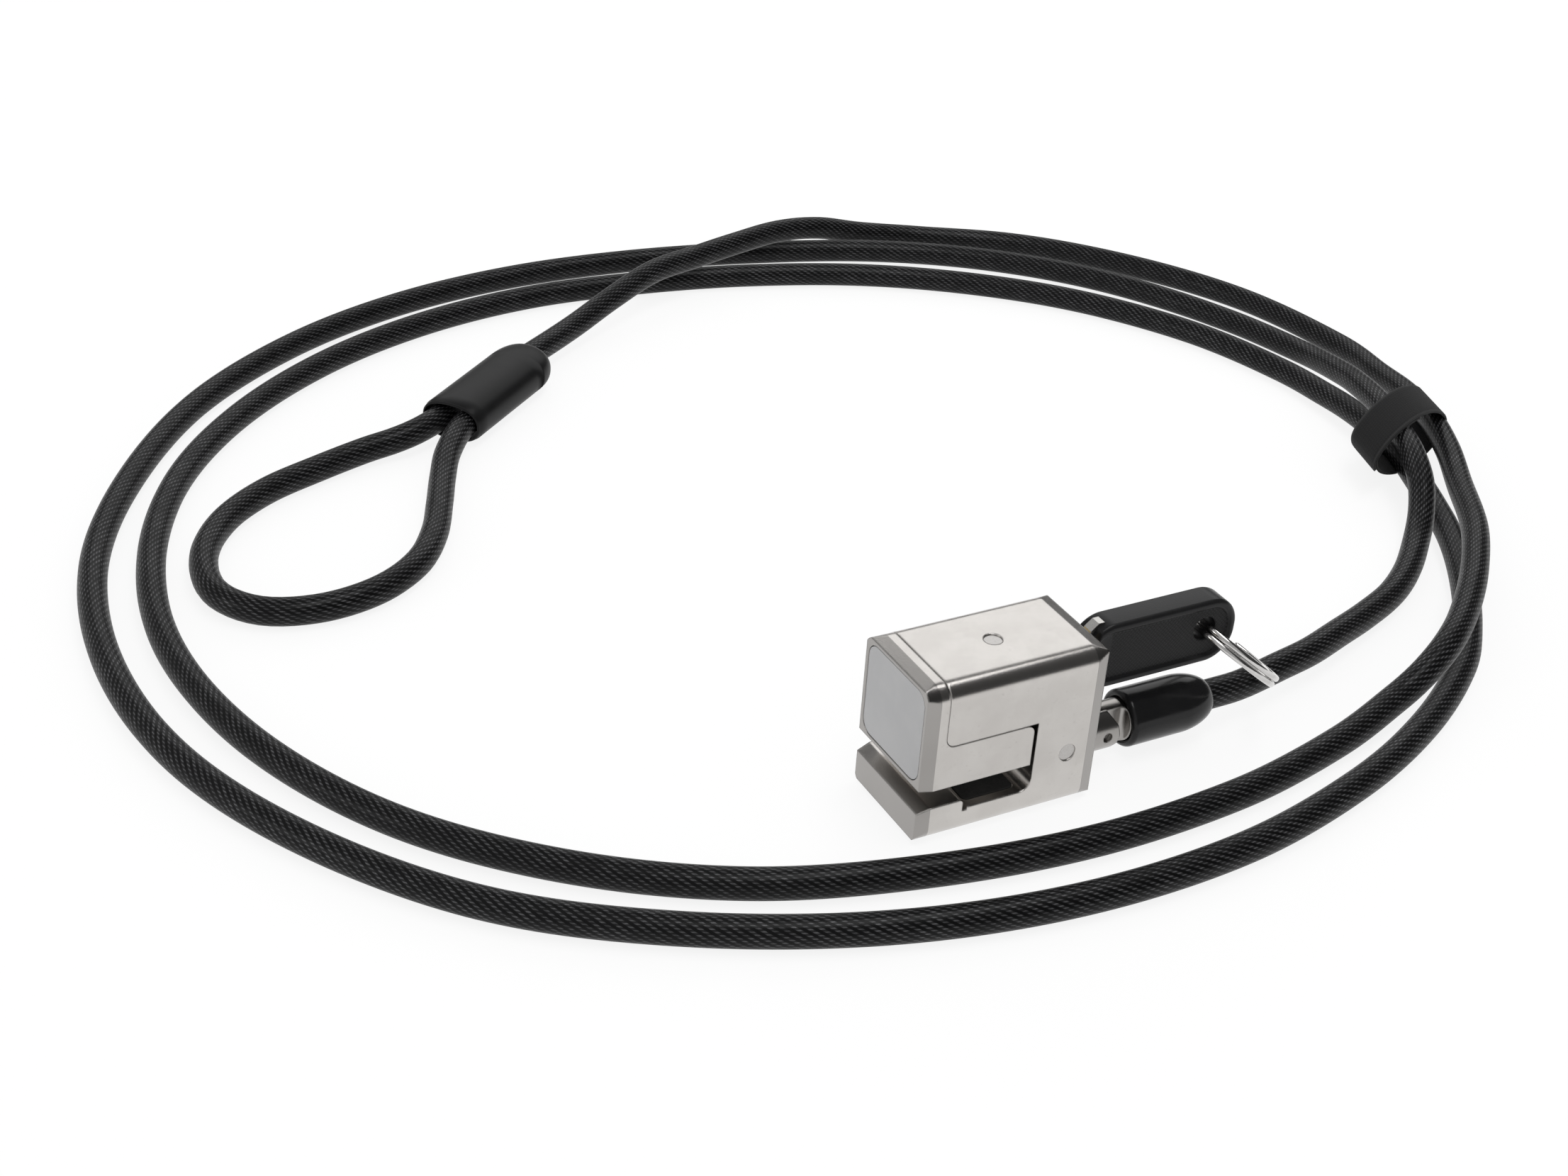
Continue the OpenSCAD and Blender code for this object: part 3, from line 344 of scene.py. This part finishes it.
BOW_X0, BOW_X1, BOW_Z, BOW_H, BOW_T, BOW_R = 14.6, 40.0, 18.0, 10.1, 4.4, 4.6
HOLE_X, HOLE_Z, HOLE_R = 34.8, 18.5, 1.8
PANEL_DEPTH, PANEL_INSET, RIM_R, DIP_DEPTH = 0.42, 1.52, 0.66, 0.75
HOLE_LIP = 0.22                       # width of the slope round the hole


def bow_outline(count):
    """Points and outward directions round a rectangle with round corners, evenly
    spaced on it, drawn in X and Z."""
    corner = np.array([[BOW_X1 - BOW_R, BOW_Z - BOW_H / 2 + BOW_R],
                       [BOW_X1 - BOW_R, BOW_Z + BOW_H / 2 - BOW_R],
                       [BOW_X0 + BOW_R, BOW_Z + BOW_H / 2 - BOW_R],
                       [BOW_X0 + BOW_R, BOW_Z - BOW_H / 2 + BOW_R]])
    a = np.radians(np.linspace(-90, 270, 361))
    at = corner[np.minimum(((np.degrees(a) + 90) // 90).astype(int), 3)]
    way = np.stack([np.cos(a), np.sin(a)], axis=-1)
    # both ends of every straight side: the direction stays and the corner changes
    turn = np.array([90, 180, 270])
    at = np.insert(at, turn, corner[:3], axis=0)
    way = np.insert(way, turn, way[turn], axis=0)
    at, way = np.vstack([at, corner[:1]]), np.vstack([way, way[:1]])
    edge = at + BOW_R * way
    run = np.r_[0, np.cumsum(np.linalg.norm(np.diff(edge, axis=0), axis=1) + 1e-9)]
    want = np.linspace(0, run[-1], count, endpoint=False)
    point = np.stack([np.interp(want, run, edge[:, k]) for k in (0, 1)], axis=-1)
    out = unit(np.stack([np.interp(want, run, way[:, k]) for k in (0, 1)], axis=-1))
    return point, out


def bow_grid():
    """Rows from the ring hole's near edge over the near panel, its sloping edge, the
    rim and the outer side to the far face, and back through the hole. A row either
    lies at an inset from the outline, or on a circle round the hole, or between."""
    point, out = bow_outline(360)
    hole = np.array([HOLE_X, HOLE_Z])
    way = unit(point - hole)
    half = BOW_T / 2
    panel = half - PANEL_DEPTH
    face = [("hole", HOLE_R, half - 0.75), ("hole", HOLE_R + 0.02, panel - 0.12),
            ("hole", HOLE_R + 0.1, panel - 0.03), ("hole", HOLE_R + HOLE_LIP, panel)]
    face += [(share, 0, panel) for share in (0.15, 0.4, 0.7, 0.92)]
    face += [("edge", PANEL_INSET, panel), ("edge", 1.42, panel + 0.02),
             ("edge", 1.36, panel + 0.09), ("edge", 1.1, half - 0.1),
             ("edge", 1.02, half - 0.02), ("edge", 0.93, half), ("edge", 0.72, half)]
    face += [("edge", RIM_R * (1 - np.sin(b)), half - RIM_R * (1 - np.cos(b)))
             for b in np.radians(np.linspace(8, 90, 9))]
    rows = []
    for sign in (-1, 1):
        part = []
        for kind, value, y in face:
            if kind == "hole":
                flat = hole + value * way
            elif kind == "edge":
                flat = point - value * out
            else:
                inner, outer = hole + (HOLE_R + HOLE_LIP) * way, point - PANEL_INSET * out
                flat = inner + kind * (outer - inner)
            depth = np.full(len(flat), sign * y)
            part.append(np.stack([flat[:, 0], depth, flat[:, 1]], axis=-1))
        rows += part if sign < 0 else part[::-1]
    grid = np.stack(rows)
    # a hollow in the top edge, where the blade's corner shows
    x, y, z = grid[..., 0], grid[..., 1], grid[..., 2]
    dip = (smoothstep(-x, -16.9, -16.3) * smoothstep(x, 14.4, 15.0)
           * smoothstep(z, 20.8, 21.8) * smoothstep(-y, -1.5, -0.9))
    grid[..., 2] = z - DIP_DEPTH * dip
    return grid


bow = piece("bow_shell", bow_grid(), "key", "key_bow", wrap_rows=True)

# ---------- split ring ----------

RING_R, RING_WIRE, RING_SEAT, RING_PITCH = 8.0, 0.45, 0.6, 1.0
RING_LEAN = np.radians(50)
WIRE_SIDES = 20


def ring_grid():
    """A wire of two turns side by side: middle + r (cos a out + sin a Y) + step
    across, where the step falls from one turn to the other just before the seam."""
    out = np.array([np.sin(RING_LEAN), 0, -np.cos(RING_LEAN)])
    across = np.array([np.cos(RING_LEAN), 0, np.sin(RING_LEAN)])
    middle = np.array([HOLE_X, 0, HOLE_Z]) + (RING_R + RING_SEAT) * out
    i = np.linspace(0, 45, 361)
    a = np.radians(35 - 15 * i)[:, None]
    step = 0.5 - smoothstep(i, 21, 24)[:, None]
    line = (middle + RING_R * (np.cos(a) * out + np.sin(a) * np.array([0, 1, 0]))
            + RING_PITCH * step * across)
    ahead = unit(np.gradient(line, axis=0))
    side = unit(np.cross(across, ahead))
    up = np.cross(ahead, side)
    # a wire with slightly flattened sides, and ends with a small chamfer
    shrink = np.ones(len(i))
    shrink[[0, -1]] = 0.72
    section = oval(RING_WIRE, RING_WIRE, WIRE_SIDES, 0.86)
    return line[:, None] + shrink[:, None, None] * (section[None, :, :1] * side[:, None]
                                                    + section[None, :, 1:] * up[:, None])


ring = piece("ring_wire_turns", ring_grid(), "ring", "split_ring")

# ---------- finishes ----------


class Value:
    """An output socket of a finish. Arithmetic on it adds Math nodes."""

    def __init__(self, finish, socket):
        self.finish, self.socket = finish, socket

    def math(self, operation, *others, flip=False):
        terms = (self, *others)[::-1] if flip else (self, *others)
        return self.finish.node("Math", {"operation": operation}, dict(enumerate(terms)))

    def __add__(self, other):
        return self.math("ADD", other)

    def __sub__(self, other):
        return self.math("SUBTRACT", other)

    def __rsub__(self, other):
        return self.math("SUBTRACT", other, flip=True)

    def __mul__(self, other):
        return self.math("MULTIPLY", other)

    __radd__, __rmul__ = __add__, __mul__

    def wave(self):
        """0.5 + 0.5 sin of this number of turns."""
        return (self * TURN).math("SINE") * 0.5 + 0.5

    def step(self, low, high):
        """0 below low, 1 above high and smooth between; the other way if low > high."""
        flip = low > high
        ends = (high, low) if flip else (low, high)
        soft = self.finish.node("MapRange", {"interpolation_type": "SMOOTHSTEP"},
                                {0: self, 1: ends[0], 2: ends[1]})
        return 1 - soft if flip else soft


class Finish:
    """A material in the making, or a world if one is given. node() adds a shader node:
    its type, its settings, which are set first, and the values or links of its
    sockets."""

    def __init__(self, name, world=None):
        self.material = world or bpy.data.materials.new(name)
        self.material.use_nodes = True
        self.tree = self.material.node_tree
        self.tree.nodes.clear()

    def node(self, kind, settings=None, sockets=None, out=0):
        made = self.tree.nodes.new("ShaderNode" + kind)
        for key, value in (settings or {}).items():
            setattr(made, key, value)
        for key, value in (sockets or {}).items():
            if isinstance(value, Value):
                self.tree.links.new(value.socket, made.inputs[key])
            elif value is not None:
                made.inputs[key].default_value = value
        return Value(self, made.outputs[out])

    def place(self):
        """The point's place on the object."""
        return self.node("TexCoord", out="Object")

    def along(self):
        """The two numbers of the piece's own UV map."""
        both = self.node("SeparateXYZ", {}, {0: self.node("UVMap", {"uv_map": "along"})})
        return both, Value(self, both.socket.node.outputs[1])

    def noise(self, size, detail=2.0, rough=0.5, stretch=None):
        """Noise whose blotches are about size millimetres across."""
        at = self.place()
        if stretch:
            at = self.node("Mapping", {}, {"Vector": at, "Scale": stretch})
        return self.node("TexNoise", {"noise_dimensions": "3D"},
                         {"Vector": at, "Scale": 1 / (size * MM), "Detail": detail,
                          "Roughness": rough})

    def blend(self, share, low, high):
        """Colour low where share is 0 and high where it is 1."""
        return self.node("Mix", {"data_type": "RGBA"}, {0: share, 6: as_rgba(low),
                                                        7: as_rgba(high)}, out=2)

    def bump(self, height, depth, strength=1.0, over=None):
        """A surface normal that follows height, depth millimetres from 0 to 1."""
        return self.node("Bump", {}, {"Height": height, "Distance": depth * MM,
                                      "Strength": strength, "Normal": over})

    def rounded(self, radius):
        """A normal that rounds the edges by a radius in millimetres."""
        return self.node("Bevel", {"samples": 6}, {"Radius": radius * MM})

    def surface(self, **sockets):
        """The closing shader; a keyword's _ stands for a space."""
        shader = self.node("BsdfPrincipled", {},
                           {key.replace("_", " "): as_rgba(value) if key == "Base_Color"
                            else value for key, value in sockets.items()})
        self.close(shader)
        return self.material

    def close(self, shader, kind="Material"):
        """Links the last shader to the output."""
        made = self.tree.nodes.new("ShaderNodeOutput" + kind)
        self.tree.links.new(shader.socket, made.inputs["Surface"])


def as_rgba(colour):
    """A colour of three numbers with an alpha of 1; a link stays as it is."""
    return colour if isinstance(colour, Value) else (*colour, 1)


def satin_nickel():
    """Warm nickel plate over a finely blasted surface, with soft worn edges, and painted
    shade that darkens the bevels at both ends of the head."""
    f = Finish("satin_nickel")
    grain = f.noise(0.16, 3.0, 0.6)
    cloud = f.noise(5.0, 3.0, 0.55)
    speck = f.noise(0.5, 4.0, 0.7).step(0.60, 0.72)
    x = f.node("SeparateXYZ", {}, {0: f.place()})
    # the middle of the head, between the end bevels that get painted shade
    between = x.step(-0.01206, -0.01196) * (1 - x.step(0.01204, 0.01214))
    colour = f.blend(cloud.step(0.3, 0.7), (0.545, 0.523, 0.500), (0.585, 0.563, 0.540))
    colour = f.blend(speck * 0.35, colour, (0.40, 0.385, 0.37))
    # painted shade: a darker base colour on the bevels at both ends of the head
    colour = f.blend((1 - between) * 0.75, colour, (0.27, 0.26, 0.25))
    rough = 0.19 + cloud * 0.02 + grain * 0.06
    normal = f.bump(grain, 0.016, 0.65, f.rounded(0.42))
    return f.surface(Base_Color=colour, Metallic=1.0, Roughness=rough, Normal=normal)


def pin_steel():
    """Ground steel of the dowels, springs and bolt, with faint turning marks."""
    f = Finish("pin_steel")
    fine = f.noise(0.25, 3.0, 0.6)
    colour = f.blend(fine, (0.40, 0.385, 0.37), (0.60, 0.585, 0.57))
    return f.surface(Base_Color=colour, Metallic=1.0, Roughness=0.24 + fine * 0.12,
                     Normal=f.bump(fine, 0.008, 0.4, f.rounded(0.2)))


def lock_brass():
    """Machined brass of the cylinder, a little tarnished."""
    f = Finish("lock_brass")
    tarnish = f.noise(1.4, 4.0, 0.6)
    lines = f.noise(0.2, 2.0, 0.5, stretch=(8.0, 1.0, 1.0))
    colour = f.blend(tarnish.step(0.35, 0.7), (0.72, 0.56, 0.27), (0.50, 0.37, 0.18))
    return f.surface(Base_Color=colour, Metallic=1.0, Roughness=0.22 + tarnish * 0.15,
                     Normal=f.bump(lines, 0.006, 0.4, f.rounded(0.1)))


def key_steel():
    """Nickel-plated blade with fine milling lines along it."""
    f = Finish("key_steel")
    lines = f.noise(0.12, 2.0, 0.5, stretch=(0.12, 1.0, 1.0))
    wear = f.noise(1.8, 3.0, 0.6)
    colour = f.blend(wear, (0.50, 0.49, 0.47), (0.62, 0.61, 0.59))
    return f.surface(Base_Color=colour, Metallic=1.0, Roughness=0.24 + lines * 0.1,
                     Normal=f.bump(lines, 0.006, 0.5, f.rounded(0.12)))


def ring_wire():
    """Bright plated spring wire, with faint drawing marks."""
    f = Finish("ring_wire")
    wear = f.noise(0.7, 4.0, 0.6)
    colour = f.blend(wear, (0.52, 0.51, 0.50), (0.68, 0.67, 0.66))
    return f.surface(Base_Color=colour, Metallic=1.0, Roughness=0.08 + wear * 0.1,
                     Normal=f.bump(f.noise(0.3, 2.0), 0.004, 0.3))


def ferrule_aluminium():
    """Pressed aluminium with tool marks."""
    f = Finish("ferrule_aluminium")
    marks = f.noise(0.9, 4.0, 0.6)
    colour = f.blend(marks, (0.62, 0.62, 0.63), (0.74, 0.74, 0.75))
    return f.surface(Base_Color=colour, Metallic=1.0, Roughness=0.32 + marks * 0.15,
                     Normal=f.bump(marks, 0.02, 0.5, f.rounded(0.15)))


def badge_grey():
    """The plain inlaid plate: pale grey with a silky, slightly uneven face."""
    f = Finish("badge_grey")
    fine = f.noise(0.14, 2.0, 0.6)
    cloud = f.noise(4.0, 3.0, 0.5)
    colour = f.blend(cloud.step(0.3, 0.7), (0.415, 0.415, 0.42), (0.435, 0.435, 0.438))
    return f.surface(Base_Color=colour, Metallic=0.35, Roughness=0.42 + fine * 0.08,
                     Normal=f.bump(fine, 0.004, 0.4, f.rounded(0.08)))


def pad_rubber():
    """Matt black rubber with a fine pebble."""
    f = Finish("pad_rubber")
    pebble = f.node("TexVoronoi", {"feature": "F1"},
                    {"Vector": f.place(), "Scale": 1 / (0.35 * MM)})
    colour = f.blend(f.noise(1.5, 3.0), (0.012, 0.012, 0.012), (0.028, 0.028, 0.027))
    return f.surface(Base_Color=colour, Roughness=0.62 + pebble * 0.2,
                     Normal=f.bump(pebble, 0.03, 0.5, f.rounded(0.15)))


def boot_black():
    """Glossy black vinyl, with a faint orange peel and rubbed haze."""
    f = Finish("boot_black")
    peel = f.noise(0.8, 2.0, 0.5)
    haze = f.noise(3.5, 4.0, 0.6)
    colour = f.blend(haze, (0.007, 0.007, 0.0075), (0.014, 0.014, 0.0145))
    return f.surface(Base_Color=colour, Roughness=0.15 + haze.step(0.35, 0.75) * 0.10,
                     Specular_IOR_Level=0.24,
                     Normal=f.bump(peel, 0.008, 0.35, f.rounded(0.15)))


def sleeve_black():
    """Satin black sleeve of shrunk tube, with faint scuffs."""
    f = Finish("sleeve_black")
    haze = f.noise(3.0, 4.0, 0.6)
    fine = f.noise(0.18, 2.0, 0.6)
    colour = f.blend(haze, (0.005, 0.005, 0.0053), (0.011, 0.011, 0.0113))
    return f.surface(Base_Color=colour, Roughness=0.34 + haze * 0.1,
                     Specular_IOR_Level=0.14, Normal=f.bump(fine, 0.006, 0.4))


def cable_jacket():
    """Smoked clear jacket over laid wire rope. s runs along the cable in metres and
    a round it in turns. The strands wind round it once in each lay, and on the crown of
    each the wires show as short bright lines almost in line with the cable."""
    strands, lay, wires_round, wire_lay = 16, 0.024, 34, 0.35
    f = Finish("cable_jacket")
    s, a = f.along()
    wander = f.noise(9.0, 2.0, 0.5)
    strand = (a * strands - s * (strands / lay) + wander * 0.3).wave()
    crown = strand.step(0.35, 0.86)
    fine = f.noise(0.55, 2.0, 0.6)
    wires = (a * wires_round + s * (wires_round / wire_lay) + fine * 0.25).wave()
    wires = wires.step(0.45, 0.95)
    glint = f.noise(1.6, 3.0, 0.6).step(0.30, 0.72)
    show = crown * (0.16 + wires * 0.84) * (0.35 + glint * 0.65)
    colour = f.blend(show, (0.0025, 0.0025, 0.0028), (0.10, 0.10, 0.104))
    haze = f.noise(6.0, 3.0, 0.6)
    height = strand * 0.7 + wires * crown * 0.3
    return f.surface(Base_Color=colour, Roughness=0.46 - show * 0.1,
                     Metallic=show * 0.3, Specular_IOR_Level=0.1,
                     Coat_Weight=0.08 + haze * 0.14, Coat_Roughness=0.2, Coat_IOR=1.4,
                     Normal=f.bump(height, 0.05, 0.35))


def strap_fabric():
    """Black hook-and-loop tape: a fine ribbed weave, a felted nap and paler edges."""
    f = Finish("strap_fabric")
    s, w = f.along()
    rib_pitch, cross_pitch = 0.00055, 0.0006
    rib = (s * (1 / rib_pitch) + f.noise(1.2, 2.0) * 0.5).wave()
    cross = (w * (1 / cross_pitch)).wave()
    nap = f.noise(0.22, 4.0, 0.7)
    edge = w.math("ABSOLUTE").step(0.0044, 0.0049)
    colour = f.blend(nap * 0.7 + rib * cross * 0.3, (0.004, 0.004, 0.0042),
                     (0.014, 0.014, 0.0145))
    colour = f.blend(edge * 0.7, colour, (0.03, 0.03, 0.03))
    return f.surface(Base_Color=colour, Roughness=0.86 + nap * 0.1,
                     Specular_IOR_Level=0.12, Sheen_Weight=0.06, Sheen_Roughness=0.5,
                     Normal=f.bump(rib * cross * 0.5 + nap, 0.05, 0.6))


def bow_black():
    """Moulded black bow: satin rim, and fine crossed lines cut into the side panels
    behind a smooth front, with painted shade darkening the cut lines."""
    f = Finish("bow_black")
    x, y, z = (f.node("SeparateXYZ", {}, {0: f.place()}, out=k) for k in range(3))
    pitch = 0.00064
    one = ((x + z) * (1 / pitch)).wave()
    two = ((x - z) * (1 / pitch)).wave()
    depth = y.math("ABSOLUTE")
    deep = (depth.step(0.00168, 0.00172) * (1 - depth.step(0.00183, 0.00195))
            * x.step(0.0186, 0.0190) * z.step(0.0141, 0.0144) * z.step(0.0219, 0.0216))
    hatch_and_groove_shade = one.math("MAXIMUM", two).step(0.72, 0.97) * deep
    haze = f.noise(2.5, 4.0, 0.6)
    colour = f.blend(haze, (0.008, 0.008, 0.0085), (0.013, 0.013, 0.0135))
    # painted shade: the crossed cut lines are painted darker than the panel
    colour = f.blend(hatch_and_groove_shade * 0.8, colour, (0.002, 0.002, 0.002))
    grain = f.noise(0.2, 2.0, 0.6)
    height = grain * 0.25 - hatch_and_groove_shade
    return f.surface(Base_Color=colour, Roughness=0.27 + haze * 0.08 + deep * 0.12,
                     Specular_IOR_Level=0.2, Normal=f.bump(height, 0.06, 0.7))


MAKERS = (satin_nickel, pin_steel, lock_brass, key_steel, ring_wire, ferrule_aluminium,
          badge_grey, pad_rubber, boot_black, sleeve_black, cable_jacket, strap_fabric,
          bow_black)
finishes = {maker.__name__: maker() for maker in MAKERS}


def dress(thing, slot):
    """Gives the whole of a piece one finish."""
    thing.data.materials.clear()
    thing.data.materials.append(finishes[slot])


for part in frame["record"]["subparts"]:
    dress(frame["nodes"][part["node"]], part["material_slot"])
for thing, slot in ((cable, "cable_jacket"), (boot, "boot_black"), (sleeve, "sleeve_black"),
                    (strap, "strap_fabric"), (bow, "bow_black"), (ring, "ring_wire")):
    dress(thing, slot)

# ---------- floor, backdrop light and lamps ----------

WHITE = (1, 1, 1, 1)
FLOOR_HALF, WALL_HALF, WALL_TOP = 6, 2.5, 2.2      # metres
SQUARE_CORNERS = ((-1, -1), (1, -1), (1, 1), (-1, 1))


def seen_directly(finish):
    """1 for rays from the camera, from mirrors and through clear things."""
    rays = finish.node("LightPath").socket.node.outputs
    camera_ray, glossy, clear = (Value(finish, rays[name]) for name in (
        "Is Camera Ray", "Is Glossy Ray", "Is Transmission Ray"))
    return camera_ray.math("MAXIMUM", glossy).math("MAXIMUM", clear)


def stage_piece(name, corners, faces, material):
    """A thing of the studio, which isn't part of the lock."""
    mesh = bpy.data.meshes.new(name)
    mesh.from_pydata(corners, [], faces)
    mesh.materials.append(material)
    thing = bpy.data.objects.new(name, mesh)
    bpy.context.scene.collection.objects.link(thing)
    return thing


def floor_white():
    """Pale floor that shows white and keeps a soft shadow."""
    f = Finish("floor_white")
    paper = f.node("BsdfDiffuse", {}, {"Color": (0.92, 0.92, 0.92, 1)})
    glow = f.node("Emission", {}, {"Color": WHITE, "Strength": 1.0})
    f.close(f.node("MixShader", {}, {0: seen_directly(f) * 0.86, 1: paper, 2: glow}))
    return f.material


def wall_grey():
    """Dark wall that turns paler on the side of low X."""
    f = Finish("wall_grey")
    x = f.node("SeparateXYZ", {}, {0: f.place()})
    colour = f.blend(x.step(0.1, -0.7), (0.06, 0.06, 0.06), (0.5, 0.5, 0.5))
    f.close(f.node("Emission", {}, {"Color": colour, "Strength": 1.0}))
    return f.material


floor = stage_piece(
    "floor", [(x * FLOOR_HALF, y * FLOOR_HALF, 0) for x, y in SQUARE_CORNERS],
    [(0, 1, 2, 3)], floor_white())
floor.location.z = -0.0001

# walls and a ceiling that are seen only in polished things
walls = stage_piece(
    "studio_walls",
    [(x * WALL_HALF, y * WALL_HALF, z) for z in (0.002, WALL_TOP)
     for x, y in SQUARE_CORNERS],
    [(k, (k + 1) % 4, 4 + (k + 1) % 4, 4 + k) for k in range(4)] + [(4, 5, 6, 7)],
    wall_grey())
walls.visible_camera = walls.visible_diffuse = walls.visible_shadow = False

world = bpy.data.worlds.new("studio")
bpy.context.scene.world = world
sky = Finish("studio", world)
sky.close(sky.node("Background", {}, {"Color": WHITE,
                                      "Strength": seen_directly(sky) * 0.3 + 0.7}), "World")


def softbox(name, place, aim, size, watts):
    """A square lamp at a place, turned to a point, both in metres."""
    lamp = bpy.data.lights.new(name, "AREA")
    lamp.shape, lamp.size, lamp.size_y, lamp.energy = "RECTANGLE", *size, watts
    holder = bpy.data.objects.new(name, lamp)
    back = unit(np.array(place, dtype=float) - np.array(aim))
    side = unit(np.cross([0, 0, 1], back) + [1e-6, 0, 0])
    up = np.cross(back, side)
    holder.matrix_world = placed(side, up, back, place)
    bpy.context.scene.collection.objects.link(holder)


softbox("back", (0.5, 0.9, 0.6), (0.02, 0.06, 0), (1.3, 0.6), 3.4)
softbox("overhead", (0.15, -0.1, 1.0), (0.02, 0.03, 0), (0.9, 0.3), 3.6)
softbox("window", (-0.9, 0.1, 0.35), (0, 0.03, 0), (0.35, 0.4), 0.9)

bpy.context.scene.view_settings.view_transform = "Standard"
